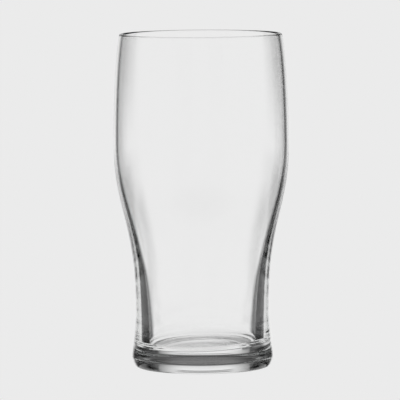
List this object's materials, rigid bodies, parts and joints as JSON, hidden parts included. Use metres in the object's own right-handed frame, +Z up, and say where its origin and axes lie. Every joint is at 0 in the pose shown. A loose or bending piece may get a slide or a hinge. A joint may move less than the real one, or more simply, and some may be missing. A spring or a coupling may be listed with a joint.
{
  "type": "pint glass",
  "caption": "Clear tulip pint glass, open at the top, with a wide belly, a narrow waist, a thick base and a flat ring to stand on.",
  "frame": {"origin": "middle of the resting ring, at table height", "axes": "+Z up along the glass's axis of revolution; X and Y lie in the table plane, and the round body has no front"},
  "size_m": [0.0842, 0.0842, 0.16],
  "materials": {
    "clear_glass": "polished, fire-polished rim"
  },
  "bodies": {
    "root": {"glass_body": "clear_glass"}
  },
  "joints": []
}
